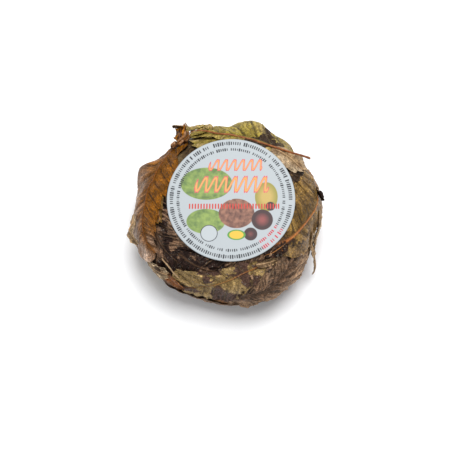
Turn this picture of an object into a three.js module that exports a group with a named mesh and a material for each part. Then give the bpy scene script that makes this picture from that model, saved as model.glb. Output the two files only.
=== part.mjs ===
// A small round sheep's milk cheese, ripened and sold in its wrapping of dried chestnut leaves,
// with a round paper label on top. Millimetres, +Z up. The origin is the centre of the flat base,
// and the front, the side from which the label is read, faces -Y.
import * as THREE from "three";

// ---- Driving dimensions -------------------------------------------------------------------
const BODY_RADIUS = 55.6; // the wheel with the wrapping that is pressed flat onto it
const BODY_HEIGHT = 50.5;
const RIM_REACH = 25.0; // how far in from the side the rounding of the rim begins
const RIM_POWER = 2.4; // 2 is a plain ellipse, more is squarer
const SLOPE_X = 0.0326; // the top leans 1.9 degrees to the left
const SLOPE_Y = 0.0857; // and 4.9 degrees to the front
const LUMP_HEIGHT = 0.35; // the wheel swells and dips this much where leaves lie crumpled

const LABEL_RADIUS = 39.0;
const LABEL_THICKNESS = 0.4;
const LABEL_CENTRE = [2.3, 0.5];
const TUCK = 2.0; // a leaf's edge reaches no further than this under the label

const LEAF_THICKNESS = 0.35;
const LAYER_GAP = 0.58; // clearance between one layer of leaves and the next
const RIB_HEIGHT = 0.12; // the midrib stands this much above the blade
const STEM_WIDTH = 1.6; // half the width of a leaf at its two ends
const BLADE_FULLNESS = 0.75; // the outline's sine to this power, less is fuller
const TOOTH_SPACING = 10.0;
const TOOTH_DEPTH = 1.2;
const STALK_RADIUS = 1.0;

const CELL_WIDTH = 4.6; // widest facet across a leaf
const END_DENSITY = 0.3; // share by which a leaf's rows lie closer at its ends
const AROUND = 72; // facets round the wheel and the label
const RIM_STEPS = 20; // facets from the top of the wheel's rim to its base
const SECTION_DETAIL = 8; // points of the measured section for each of those
const STALK_SIDES = 8;
const STALK_STEPS = 22;

// ---- The wheel's shape --------------------------------------------------------------------
const FLAT_RADIUS = BODY_RADIUS - RIM_REACH;
const HALF_HEIGHT = BODY_HEIGHT / 2;
const LAYER_PITCH = LEAF_THICKNESS + LAYER_GAP;
const LABEL_HEIGHT = 3 * LAYER_PITCH + LAYER_GAP; // clear of three layers of leaves
const LABEL_GAP = 0.3; // to the pad of folded leaves that fills the space beneath it
const PAD_RADIUS = LABEL_RADIUS - 7.5;
const PAD_FOOT_RADIUS = PAD_RADIUS + 2.5;

// The top leans, so a point's height is stretched a little by where it stands.
const lean = (x, y) => 1 + (SLOPE_X * x + SLOPE_Y * y) / BODY_HEIGHT;

const fromLabel = (p) => Math.hypot(p.x - LABEL_CENTRE[0], p.y - LABEL_CENTRE[1]);

// Below zero inside the wheel, zero on its skin and above zero outside.
function outside(p) {
  const reach = Math.max(Math.hypot(p.x, p.y) - FLAT_RADIUS, 0) / RIM_REACH;
  const rise = Math.abs(p.z / lean(p.x, p.y) - HALF_HEIGHT) / HALF_HEIGHT;
  return (reach ** RIM_POWER + rise ** RIM_POWER) ** (1 / RIM_POWER) - 1;
}

function slopeOf(p) {
  const step = 1e-3;
  const along = (dx, dy, dz) =>
    (outside(new THREE.Vector3(p.x + dx, p.y + dy, p.z + dz)) -
      outside(new THREE.Vector3(p.x - dx, p.y - dy, p.z - dz))) /
    (2 * step);
  return new THREE.Vector3(along(step, 0, 0), along(0, step, 0), along(0, 0, step));
}

const normalAt = (p) => slopeOf(p).normalize();

// Moves a nearby point onto the skin, by Newton's steps along the slope.
function ontoSkin(p) {
  const q = p.clone();
  for (let i = 0; i < 5; i++) {
    const slope = slopeOf(q);
    q.addScaledVector(slope, -outside(q) / slope.lengthSq());
  }
  return q;
}

// The half section from the middle of the top, round the rim, to the middle of the base.
const section = [new THREE.Vector2(0, BODY_HEIGHT)];
for (let i = 0; i <= RIM_STEPS * SECTION_DETAIL; i++) {
  const turn = (Math.PI * i) / (RIM_STEPS * SECTION_DETAIL);
  const side = Math.abs(Math.sin(turn)) ** (2 / RIM_POWER);
  const rise = Math.sign(Math.cos(turn)) * Math.abs(Math.cos(turn)) ** (2 / RIM_POWER);
  section.push(new THREE.Vector2(FLAT_RADIUS + RIM_REACH * side, HALF_HEIGHT * (1 + rise)));
}
section.push(new THREE.Vector2(0, 0));
const sectionRuns = [0];
for (let i = 1; i < section.length; i++) {
  sectionRuns.push(sectionRuns[i - 1] + section[i].distanceTo(section[i - 1]));
}

// The point of the half section at a given run of millimetres from the middle of the top.
function sectionAt(run) {
  const i = Math.max(1, sectionRuns.findIndex((r) => r >= run));
  const share = (run - sectionRuns[i - 1]) / (sectionRuns[i] - sectionRuns[i - 1]);
  return section[i - 1].clone().lerp(section[i], share);
}

// A place on the skin: degrees round from +X towards the back, and millimetres from the middle of
// the top, measured over the rim.
function place([degrees, run]) {
  const at = sectionAt(run);
  const turn = THREE.MathUtils.degToRad(degrees);
  const x = at.x * Math.cos(turn);
  const y = at.x * Math.sin(turn);
  return new THREE.Vector3(x, y, at.y * lean(x, y));
}

// Low lumps where leaves lie crumpled beneath, none under the label or at the base.
function lump(p) {
  const clear = THREE.MathUtils.smoothstep(fromLabel(p), LABEL_RADIUS - TUCK, LABEL_RADIUS + 9);
  const top = THREE.MathUtils.smoothstep(p.z, HALF_HEIGHT, HALF_HEIGHT + 8);
  const base = THREE.MathUtils.smoothstep(p.z, 1, 9);
  const wave =
    Math.sin(p.x * 0.13 + p.z * 0.07 + 1.1) * Math.sin(p.y * 0.12 - p.z * 0.05 + 0.4) +
    0.5 * Math.sin(p.x * 0.19 - p.y * 0.16 + p.z * 0.1);
  return (LUMP_HEIGHT * wave * base * (1 - top * (1 - clear))) / 1.5;
}

const raised = (p, n, height) => p.clone().addScaledVector(n, height + lump(p));

// ---- Pieces -------------------------------------------------------------------------------
const pecorino = new THREE.Group();

function addPiece(name, geometry, material) {
  const mesh = new THREE.Mesh(geometry, material);
  mesh.name = name;
  pecorino.add(mesh);
  return mesh;
}

function finish(color, roughness) {
  return new THREE.MeshStandardMaterial({ color, roughness, metalness: 0 });
}

const finishes = {
  wrap: finish(0x4a3a24, 0.6),
  paper: finish(0xd3dade, 0.45),
  ochre: finish(0x96621c, 0.45),
  olive: finish(0x8f8438, 0.5),
  moss: finish(0x85713a, 0.5),
  bark: finish(0x4f3f2e, 0.6),
  straw: finish(0xa98e66, 0.65),
  rust: finish(0x7a4523, 0.6),
  stalk: finish(0x9a5a32, 0.55),
};

// The cheese and the leaves pressed flat onto it: a turned section whose points are then leaned
// and given their lumps. A low round pad of folded leaves on top carries the label.
function wheel() {
  const rim = [];
  for (let i = RIM_STEPS; i >= 0; i--) rim.push(section[1 + i * SECTION_DETAIL].clone());
  const profile = [
    new THREE.Vector2(0, 0),
    new THREE.Vector2(FLAT_RADIUS / 2, 0),
    ...rim.filter((at) => at.y < HALF_HEIGHT || at.x > PAD_FOOT_RADIUS + 1),
    sectionAt(PAD_FOOT_RADIUS),
    new THREE.Vector2(PAD_RADIUS, BODY_HEIGHT),
    new THREE.Vector2(PAD_RADIUS / 2, BODY_HEIGHT),
    new THREE.Vector2(0, BODY_HEIGHT),
  ];
  const geometry = new THREE.LatheGeometry(profile, AROUND);
  geometry.rotateX(Math.PI / 2);
  const points = geometry.getAttribute("position");
  const p = new THREE.Vector3();
  for (let i = 0; i < points.count; i++) {
    p.fromBufferAttribute(points, i);
    const onPad = p.z > HALF_HEIGHT && Math.hypot(p.x, p.y) < PAD_RADIUS + 0.1;
    const onBase = p.z < 1e-6;
    p.z *= lean(p.x, p.y);
    if (onPad) p.z += LABEL_HEIGHT - LABEL_GAP;
    else if (!onBase) p.copy(raised(p, normalAt(p), 0));
    points.setXYZ(i, p.x, p.y, p.z);
  }
  return geometry;
}

// The label is a flat disc, parallel to the leaning top.
function placeLabel(mesh) {
  const normal = new THREE.Vector3(-SLOPE_X, -SLOPE_Y, 1).normalize();
  const [x, y] = LABEL_CENTRE;
  const centre = new THREE.Vector3(x, y, BODY_HEIGHT * lean(x, y));
  mesh.quaternion.setFromUnitVectors(new THREE.Vector3(0, 1, 0), normal);
  mesh.position.copy(centre.addScaledVector(normal, LABEL_HEIGHT + LABEL_THICKNESS / 2));
}

// Reads a list of values spread evenly from 0 to 1, with straight runs between them.
function read(values, share) {
  const at = THREE.MathUtils.clamp(share, 0, 1) * (values.length - 1);
  const i = Math.min(Math.floor(at), values.length - 2);
  return THREE.MathUtils.lerp(values[i], values[i + 1], at - i);
}

// Walks sideways over the skin from a point of the midrib, keeps each step's place and normal,
// and stops at the ring where the leaves end under the label.
function walk(start, heading, distance, steps) {
  const places = [{ p: start.clone(), n: normalAt(start) }];
  const way = heading.clone();
  const nearest = LABEL_RADIUS - TUCK;
  let p = start.clone();
  for (let i = 0; i < steps; i++) {
    p = ontoSkin(p.addScaledVector(way, distance / steps));
    const short = nearest + (0.4 * (steps - i)) / steps - fromLabel(p);
    if (short > 0 && p.z > HALF_HEIGHT) {
      const out = new THREE.Vector3(p.x - LABEL_CENTRE[0], p.y - LABEL_CENTRE[1], 0).normalize();
      p = ontoSkin(p.addScaledVector(out, short));
    }
    const n = normalAt(p);
    way.addScaledVector(n, -way.dot(n)).normalize();
    places.push({ p: p.clone(), n });
  }
  return places;
}

// Half the width of a chestnut blade at a share of its length, for its greatest half width.
function bladeWidth(widest, share) {
  return Math.max(STEM_WIDTH, widest * Math.sin(Math.PI * share) ** BLADE_FULLNESS);
}

// The rows of a leaf's facets lie closer together where its outline narrows.
const rowShare = (even) => even - (END_DENSITY * Math.sin(2 * Math.PI * even)) / (2 * Math.PI);

// A chestnut leaf laid on the wheel. Its midrib runs through path, with rising degrees. Inner is
// the width of the half towards the label and outer that of the other one. Layers are counted
// from the wheel. The lifts say how far, along the midrib, the edges and the whole blade stand off.
// The leaf is a thin box: its length goes to the midrib, its width and its thickness to the skin.
function leaf({ layer, path, inner, outer, innerLift = [0, 0], outerLift = [0, 0], lift = [0, 0] }) {
  const midrib = new THREE.CatmullRomCurve3(path.map(place));
  const rows = Math.max(4, 2 * Math.round(midrib.getLength() / TOOTH_SPACING));
  const halfCells = Math.ceil(Math.max(inner, outer) / CELL_WIDTH);
  const grid = [];
  for (let i = 0; i <= rows; i++) {
    const share = rowShare(i / rows);
    const start = ontoSkin(midrib.getPointAt(share));
    const n = normalAt(start);
    const along = midrib.getTangentAt(share);
    along.addScaledVector(n, -along.dot(n)).normalize();
    const inwards = n.clone().cross(along);
    const tooth = i % 2 ? TOOTH_DEPTH : 0;
    const innerHalf = walk(start, inwards, bladeWidth(inner, share) + tooth, halfCells);
    const outerHalf = walk(start, inwards.negate(), bladeWidth(outer, share) + tooth, halfCells);
    grid.push([...outerHalf.slice(1).reverse(), ...innerHalf]);
  }
  const geometry = new THREE.BoxGeometry(1, 1, 1, rows, 2 * halfCells, 1);
  const points = geometry.getAttribute("position");
  for (let k = 0; k < points.count; k++) {
    const row = Math.round((points.getX(k) + 0.5) * rows);
    const share = rowShare(row / rows);
    const across = points.getY(k) * 2;
    const onTop = points.getZ(k) > 0;
    const { p, n } = grid[row][Math.round((across + 1) * halfCells)];
    const edge = read(across > 0 ? innerLift : outerLift, share) * across ** 2;
    const rib = onTop && Math.abs(across) < 1e-6 ? RIB_HEIGHT : 0;
    const under = LAYER_GAP + (layer - 1) * LAYER_PITCH + edge + read(lift, share);
    const q = raised(p, n, under + (onTop ? LEAF_THICKNESS + rib : 0));
    points.setXYZ(k, q.x, q.y, q.z);
  }
  return geometry;
}

// A leaf stalk: a thin round rod along a smooth curve, each of its places raised off the skin.
function stalk({ path, heights }) {
  const route = path.map((at, i) => {
    const p = place(at);
    return raised(p, normalAt(p), heights[i]);
  });
  const outline = new THREE.Shape();
  for (let i = 0; i < STALK_SIDES; i++) {
    const turn = (2 * Math.PI * i) / STALK_SIDES;
    const [x, y] = [STALK_RADIUS * Math.cos(turn), STALK_RADIUS * Math.sin(turn)];
    if (i) outline.lineTo(x, y);
    else outline.moveTo(x, y);
  }
  return new THREE.ExtrudeGeometry(outline, {
    steps: STALK_STEPS,
    bevelEnabled: false,
    extrudePath: new THREE.CatmullRomCurve3(route),
  });
}

// ---- The wrapped cheese and its label -----------------------------------------------------
addPiece("cheese", wheel(), finishes.wrap);
const disc = new THREE.CylinderGeometry(LABEL_RADIUS, LABEL_RADIUS, LABEL_THICKNESS, AROUND);
placeLabel(addPiece("label", disc, finishes.paper));

// ---- The leaves ---------------------------------------------------------------------------
const leaves = {
  // Those that show round the label, clockwise from the left.
  leaf_left: {
    look: "ochre",
    layer: 3,
    path: [[123, 49], [137, 50.5], [151, 49.5], [166, 49.5], [181, 51.5], [196, 54.5], [213, 54]],
    inner: 15,
    outer: 24,
  },
  leaf_back: {
    look: "olive",
    layer: 3,
    path: [[31, 52], [40, 49.5], [50, 45.5], [62, 43], [75, 42], [90, 42], [103, 44.5], [115, 49]],
    inner: 6,
    outer: 18,
    outerLift: [0, 0, 1, 4, 5, 1, 0, 0.5, 1],
  },
  leaf_right: {
    look: "moss",
    layer: 2,
    path: [[322, 43], [335, 46], [344, 49], [352, 53], [360, 57], [370, 60.5], [384, 61]],
    inner: 20,
    outer: 15,
  },
  leaf_front: {
    look: "moss",
    layer: 2,
    path: [[240, 70], [248, 64], [258, 58], [269, 52], [282, 47.5], [296, 45]],
    inner: 11,
    outer: 21,
  },
  // Darker and drier leaves beneath them.
  leaf_left_dark: {
    look: "bark",
    layer: 1,
    path: [[166, 46], [190, 48.5], [212, 49.5], [234, 48.5], [254, 46.5]],
    inner: 12,
    outer: 22,
  },
  leaf_front_dark: {
    look: "bark",
    layer: 1,
    path: [[266, 64], [280, 62.5], [294, 60.5], [308, 58], [322, 55.5], [333, 53.5]],
    inner: 20,
    outer: 20,
  },
  leaf_right_dry: {
    look: "straw",
    layer: 1,
    path: [[-20, 79], [-6, 80], [10, 80], [26, 78], [40, 74]],
    inner: 9,
    outer: 9,
  },
  // Those round the back and low on the sides.
  leaf_rear: {
    look: "moss",
    layer: 1,
    path: [[50, 78], [68, 80], [88, 81], [108, 80], [128, 76]],
    inner: 17,
    outer: 17,
  },
  leaf_side_left: {
    look: "straw",
    layer: 1,
    path: [[143, 82], [160, 85], [178, 86], [196, 85], [210, 82]],
    inner: 13,
    outer: 13,
  },
  leaf_front_low: {
    look: "bark",
    layer: 1,
    path: [[224, 86], [244, 89], [264, 90], [284, 89.5], [302, 87]],
    inner: 9,
    outer: 9,
  },
  leaf_right_low: {
    look: "ochre",
    layer: 2,
    path: [[312, 88], [330, 91], [346, 92], [362, 92], [378, 90]],
    inner: 5,
    outer: 5,
  },
  // Torn, folded and curled bits that stand out from the rest.
  knot_leaf: {
    look: "ochre",
    layer: 4,
    path: [[118.5, 59], [121, 56], [124, 52.5], [126, 49.5]],
    inner: 4,
    outer: 4,
    lift: [8, 5, 2, 0.5],
  },
  scrap_back_left: {
    look: "olive",
    layer: 4,
    path: [[102, 54], [107, 54.5], [112, 55], [116, 55]],
    inner: 3,
    outer: 4.5,
    lift: [0.4, 0.8, 1.4, 1.8],
  },
  scrap_front: {
    look: "rust",
    layer: 2,
    path: [[302, 46], [307, 46], [312, 45.5], [317, 45]],
    inner: 3.5,
    outer: 3.5,
    lift: [0, 0.6, 0.6, 0],
  },
  shred_front_left: {
    look: "straw",
    layer: 2,
    path: [[209, 66], [215, 65], [221, 62.5], [229, 59]],
    inner: 5,
    outer: 5,
  },
  flap_front_left: {
    look: "rust",
    layer: 3,
    path: [[219, 62], [226, 62], [233, 63], [241, 65.5]],
    inner: 5,
    outer: 5,
    outerLift: [0.5, 1, 1, 0.5],
  },
  tip_left: {
    look: "straw",
    layer: 4,
    path: [[183, 60], [189, 61], [195, 62], [201, 62]],
    inner: 3.3,
    outer: 3.3,
    lift: [0.4, 4, 3, 0.4],
  },
  tip_right: {
    look: "bark",
    layer: 3,
    path: [[7.5, 62], [11, 60.5], [14, 59], [17, 57]],
    inner: 2.5,
    outer: 2.5,
    lift: [3, 2.6, 1.5, 0.3],
  },
  tip_hanging: {
    look: "straw",
    layer: 3,
    path: [[331, 86.5], [334, 80], [339, 73], [346, 64]],
    inner: 2.5,
    outer: 3.5,
    lift: [8.5, 5, 2, 0.4],
  },
};
for (const [name, { look, ...shape }] of Object.entries(leaves)) {
  addPiece(name, leaf(shape), finishes[look]);
}

// The reddish stalk lies along the back leaf's midrib and runs on past the wheel's right side.
const stalkRest = 3 * LAYER_PITCH + RIB_HEIGHT + LAYER_GAP + STALK_RADIUS;
const stalkShape = {
  path: [[112, 48.5], [103, 44.5], [90, 42], [75, 42], [61, 43], [49, 45.5], [40, 50], [34, 59]],
  heights: [0.2, 0, 0, 0, 0, 0.2, 1.2, 3.8].map((above) => stalkRest + above),
};
addPiece("stalk_back", stalk(stalkShape), finishes.stalk);

export default pecorino;
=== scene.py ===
"""A small pecorino wrapped in dried chestnut leaves, with a round paper label, on a pale floor."""
import math

import bpy
import numpy as np
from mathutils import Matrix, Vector


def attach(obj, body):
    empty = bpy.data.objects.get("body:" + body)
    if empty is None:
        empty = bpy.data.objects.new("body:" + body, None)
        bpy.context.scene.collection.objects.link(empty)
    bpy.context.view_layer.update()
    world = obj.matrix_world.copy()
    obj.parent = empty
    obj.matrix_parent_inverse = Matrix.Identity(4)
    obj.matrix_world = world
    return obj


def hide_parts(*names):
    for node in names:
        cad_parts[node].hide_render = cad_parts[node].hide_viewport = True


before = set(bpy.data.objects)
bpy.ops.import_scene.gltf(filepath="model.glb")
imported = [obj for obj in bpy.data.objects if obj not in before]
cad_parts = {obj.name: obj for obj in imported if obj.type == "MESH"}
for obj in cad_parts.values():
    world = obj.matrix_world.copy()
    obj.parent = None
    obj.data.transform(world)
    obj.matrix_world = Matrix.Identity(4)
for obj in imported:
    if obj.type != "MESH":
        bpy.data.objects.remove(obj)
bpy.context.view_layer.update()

# ---- The wheel ------------------------------------------------------------------------------
# A small wheel of sheep's milk cheese under a skin of old chestnut leaves. They were laid on damp
# and pressed flat, so they follow the wheel's round rim. Nothing of the cheese itself shows.
MM = 0.001
BODY_RADIUS, BODY_HEIGHT = 55.6, 50.5  # millimetres, as are all sizes up to the mesh
RIM_REACH, RIM_POWER = 25.0, 2.4
SLOPE = np.array([0.0326, 0.0857])  # the top rises so much for each mm to the right and to the back
FLAT_RADIUS, HALF_HEIGHT = BODY_RADIUS - RIM_REACH, BODY_HEIGHT / 2
LABEL_CENTRE, PAD_HEIGHT = np.array([2.3, 0.5]), 2.9  # a pad of pressed leaves swells under the label
DENTS = (257, 66, 26, 4.2), (341, 67, 15, 3.4)  # degrees round, mm over the skin, size and depth
AROUND, OVER = 450, 200  # cells round the wheel and over its half section


def lean(p):
    """What a point's height is stretched by: one plus the slopes times x and y, over the height."""
    return 1 + (p[..., 0] * SLOPE[0] + p[..., 1] * SLOPE[1]) / BODY_HEIGHT


def skin_distance(p):
    """How far outside the wheel's skin a point is, as a share, and that share's slope.

    The reach past the flat and the rise from mid height, each as a share of its greatest, are
    raised to the rim's power and added. The sum's root less one is zero on the skin.
    """
    x, y, z = p[..., 0], p[..., 1], p[..., 2]
    radius = np.maximum(np.hypot(x, y), 1e-9)
    stretch = lean(p)
    reach = np.maximum(radius - FLAT_RADIUS, 0) / RIM_REACH
    offset = z / stretch - HALF_HEIGHT
    rise = np.abs(offset) / HALF_HEIGHT
    total = np.maximum(reach**RIM_POWER + rise**RIM_POWER, 1e-12)
    root = total ** (1 / RIM_POWER)
    by_reach = reach ** (RIM_POWER - 1) * root / total / RIM_REACH
    by_rise = rise ** (RIM_POWER - 1) * root / total * np.sign(offset) / HALF_HEIGHT
    tilt = -z / stretch**2 / BODY_HEIGHT
    slope = np.stack([by_reach * x / radius + by_rise * tilt * SLOPE[0],
                      by_reach * y / radius + by_rise * tilt * SLOPE[1],
                      by_rise / stretch], -1)
    return root - 1, slope


def skin_normal(p):
    """The skin's outward direction: its slope, made one long."""
    slope = skin_distance(p)[1]
    return slope / np.linalg.norm(slope, axis=-1, keepdims=True)


# The half section, from the middle of the top over the rim to the middle of the base.
turn = np.linspace(0, math.pi, 1501)
bulge = np.abs(np.cos(turn)) ** (2 / RIM_POWER) * np.sign(np.cos(turn))
section_r = np.concatenate([[0], FLAT_RADIUS + RIM_REACH * np.sin(turn).clip(0) ** (2 / RIM_POWER), [0]])
section_z = np.concatenate([[BODY_HEIGHT], HALF_HEIGHT * (1 + bulge), [0]])
section_run = np.concatenate([[0], np.cumsum(np.hypot(np.diff(section_r), np.diff(section_z)))])
TOTAL_RUN = section_run[-1]


def on_skin(degrees, run):
    """The point so many degrees round from +X, and so many mm over the skin from the top's middle."""
    angle = np.radians(degrees)
    r, z = np.interp(run, section_run, section_r), np.interp(run, section_run, section_z)
    p = np.stack([r * np.cos(angle), r * np.sin(angle), z + 0 * angle], -1)
    p[..., 2] *= lean(p)
    return p


def from_label(p):
    """How far a point is from the label's axis, seen from above."""
    return np.hypot(p[..., 0] - LABEL_CENTRE[0], p[..., 1] - LABEL_CENTRE[1])


def smooth_step(x, low, high):
    """Zero below low, one above high, and 3t^2 - 2t^3 between."""
    t = np.clip((x - low) / (high - low), 0, 1)
    return t * t * (3 - 2 * t)


def noise(p, size, seed=0):
    """Smooth noise from -1 to 1.

    A point lies in a box of the given size in millimetres. Each of the box's eight corners has a
    fixed random number: its whole numbers and the seed, each times a large odd number, are added,
    mixed by shifts and cut to 32 bits. The eight are blended by 3t^2 - 2t^3 each way.
    """
    q = p / np.asarray(size, float)
    cell = np.floor(q).astype(np.int64)
    t = q - cell
    t = t * t * (3 - 2 * t)
    total = np.zeros(p.shape[:-1])
    for corner in range(8):
        step = np.array([corner & 1, corner >> 1 & 1, corner >> 2])
        share = np.prod(np.where(step, t, 1 - t), -1)
        h = ((cell + step) @ np.array([374761393, 668265263, 1440662683]) + seed * 974711) & 0xFFFFFFFF
        h = ((h ^ (h >> 13)) * 1274126177) & 0xFFFFFFFF
        total += share * (((h ^ (h >> 16)) & 0xFFFFFF) / 0x7FFFFF - 1)
    return total


def layered(p, size, layers, seed=0):
    """Layers of noise added up, each half the size and half the height of the one before."""
    size = np.asarray(size, float)
    return sum(noise(p, size / 2**i, seed + 17 * i) / 2**i for i in range(layers))


def creased(p, size, seed=0):
    """Sharp folds from 0 to 1: one where the noise passes through zero, falling off as it grows."""
    return (1 - np.abs(noise(p, size, seed)).clip(0, 1)) ** 2


def tube_faces(rings, around):
    """The faces of rings of points, each joined to the next, and of a fan to a pole at either end."""
    grid = np.arange(rings * around).reshape(rings, around)
    beside = np.roll(grid, -1, 1)
    quads = np.stack([grid[:-1], grid[1:], beside[1:], beside[:-1]], -1).reshape(-1, 4)
    first_pole, last_pole = grid.size + 0 * grid[0], grid.size + 1 + 0 * grid[0]
    caps = np.concatenate([np.stack([grid[0], beside[0], first_pole], -1),
                           np.stack([beside[-1], grid[-1], last_pole], -1)])
    return quads, caps


def add_object(name, data):
    """Puts a mesh, a light or a camera in the scene, at the origin."""
    added = bpy.data.objects.new(name, data)
    bpy.context.scene.collection.objects.link(added)
    return added


def make_piece(name, points, quads, triangles=None, uv=None, marks=None):
    """Makes a smooth-shaded mesh in metres from points in millimetres, and rows of corners.

    uv holds two numbers a point, and marks holds named lists of one number a point.
    """
    triangles = np.zeros((0, 3), int) if triangles is None else triangles
    corners = np.concatenate([quads.ravel(), triangles.ravel()]).astype(np.int32)
    starts = np.concatenate([np.arange(len(quads)) * 4, quads.size + np.arange(len(triangles)) * 3])
    mesh = bpy.data.meshes.new(name)
    mesh.vertices.add(len(points))
    mesh.vertices.foreach_set("co", (points * MM).astype(np.float32).ravel())
    mesh.loops.add(len(corners))
    mesh.loops.foreach_set("vertex_index", corners)
    mesh.polygons.add(len(starts))
    mesh.polygons.foreach_set("loop_start", starts.astype(np.int32))
    mesh.polygons.foreach_set("use_smooth", np.ones(len(starts), bool))
    if uv is not None:
        layer = mesh.uv_layers.new(name="flat")
        layer.data.foreach_set("uv", uv[corners].astype(np.float32).ravel())
    for mark, values in (marks or {}).items():
        attribute = mesh.attributes.new(mark, "FLOAT", "POINT")
        attribute.data.foreach_set("value", np.asarray(values, np.float32).ravel())
    mesh.update(calc_edges=True)
    return add_object(name, mesh)


def place_piece(piece, material, slot, nodes):
    """Gives a piece its material, rides it on the part, and hides the solids it stands for; slot is unused.
    """
    piece.data.materials.append(material)
    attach(piece, "root")
    if nodes:
        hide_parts(*nodes)


def new_material(name):
    """An empty material and its node tree."""
    material = bpy.data.materials.new(name)
    material.use_nodes = True
    material.node_tree.nodes.clear()
    return material, material.node_tree


def colour(hexadecimal):
    """A linear colour from an sRGB hex one, by the sRGB curve."""
    parts = [int(hexadecimal[i:i + 2], 16) / 255 for i in (1, 3, 5)]
    return [c / 12.92 if c <= 0.04045 else ((c + 0.055) / 1.055) ** 2.4 for c in parts] + [1.0]


def node(tree, kind, inputs=None, out=0, **settings):
    """Adds a shader node with its settings and returns one output. An input is a value or a socket."""
    made = tree.nodes.new("ShaderNode" + kind)
    for name, value in settings.items():
        setattr(made, name, value)
    for name, value in (inputs or {}).items():
        if isinstance(value, bpy.types.NodeSocket):
            tree.links.new(value, made.inputs[name])
        else:
            made.inputs[name].default_value = value
    return made.outputs[out] if made.outputs else None


FACTOR, FIRST, SECOND, MIXED = 0, 6, 7, 2  # the Mix node's sockets for colours


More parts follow.
